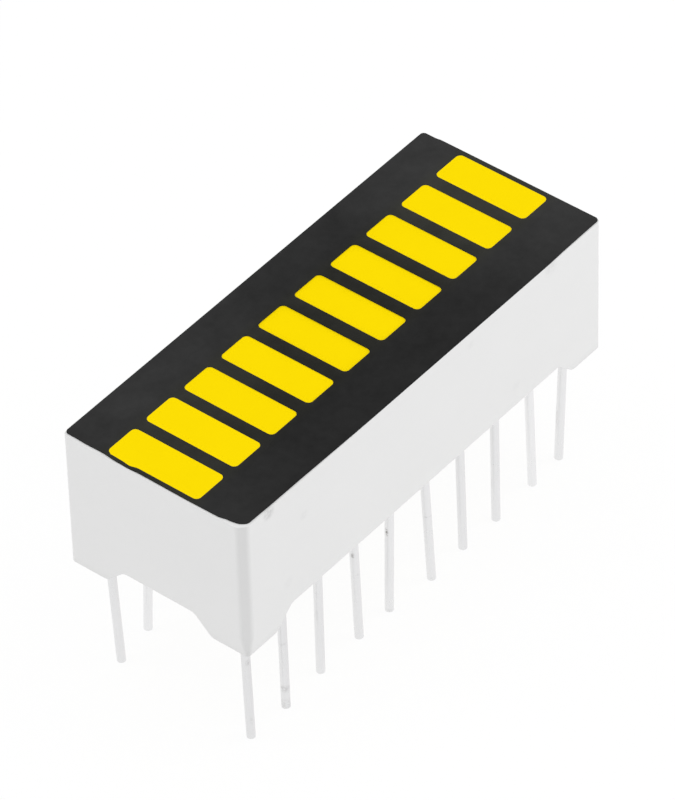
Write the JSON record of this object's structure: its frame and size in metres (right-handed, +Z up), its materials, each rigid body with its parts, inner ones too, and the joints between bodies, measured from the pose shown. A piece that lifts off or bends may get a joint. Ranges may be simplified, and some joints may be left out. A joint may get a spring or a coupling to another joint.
{
  "type": "led bar graph",
  "caption": "Light bar display: yellow resin bars in a row on the black face of a white moulded block, with rows of round pins that are soldered into a circuit board.",
  "frame": {"origin": "centre of the pin pattern on the seating plane of the feet", "axes": "+X along the row of bars, +Y from the front row of pins to the back row, +Z up towards the lit face"},
  "size_m": [0.0252, 0.01, 0.0144],
  "materials": {
    "housing_plastic": "moulded satin plastic, light grey white",
    "mask_film": "black printed film, matt",
    "segment_resin": "yellow diffused cast resin, smooth",
    "board_laminate": "glass fibre laminate with green coating",
    "track_copper": "copper, satin",
    "solder_tin": "tin solder, bright",
    "filling_resin": "cast resin, glossy",
    "chip_crystal": "sawn crystal, smooth",
    "wire_gold": "drawn gold wire, bright",
    "pin_steel": "tinned steel wire, satin"
  },
  "bodies": {
    "root": {"housing": "housing_plastic", "face_mask": "mask_film", "circuit_board": "board_laminate", "anode_tracks": "track_copper", "cathode_tracks": "track_copper", "solder_joints": "solder_tin", "back_filling": "filling_resin", "segment_01": "segment_resin", "segment_02": "segment_resin", "segment_03": "segment_resin", "segment_04": "segment_resin", "segment_05": "segment_resin", "segment_06": "segment_resin", "segment_07": "segment_resin", "segment_08": "segment_resin", "segment_09": "segment_resin", "segment_10": "segment_resin", "chip_01": "chip_crystal", "chip_02": "chip_crystal", "chip_03": "chip_crystal", "chip_04": "chip_crystal", "chip_05": "chip_crystal", "chip_06": "chip_crystal", "chip_07": "chip_crystal", "chip_08": "chip_crystal", "chip_09": "chip_crystal", "chip_10": "chip_crystal", "bond_wire_01": "wire_gold", "bond_wire_02": "wire_gold", "bond_wire_03": "wire_gold", "bond_wire_04": "wire_gold", "bond_wire_05": "wire_gold", "bond_wire_06": "wire_gold", "bond_wire_07": "wire_gold", "bond_wire_08": "wire_gold", "bond_wire_09": "wire_gold", "bond_wire_10": "wire_gold", "pin_01": "pin_steel", "pin_02": "pin_steel", "pin_03": "pin_steel", "pin_04": "pin_steel", "pin_05": "pin_steel", "pin_06": "pin_steel", "pin_07": "pin_steel", "pin_08": "pin_steel", "pin_09": "pin_steel", "pin_10": "pin_steel", "pin_11": "pin_steel", "pin_12": "pin_steel", "pin_13": "pin_steel", "pin_14": "pin_steel", "pin_15": "pin_steel", "pin_16": "pin_steel", "pin_17": "pin_steel", "pin_18": "pin_steel", "pin_19": "pin_steel", "pin_20": "pin_steel"}
  },
  "joints": []
}
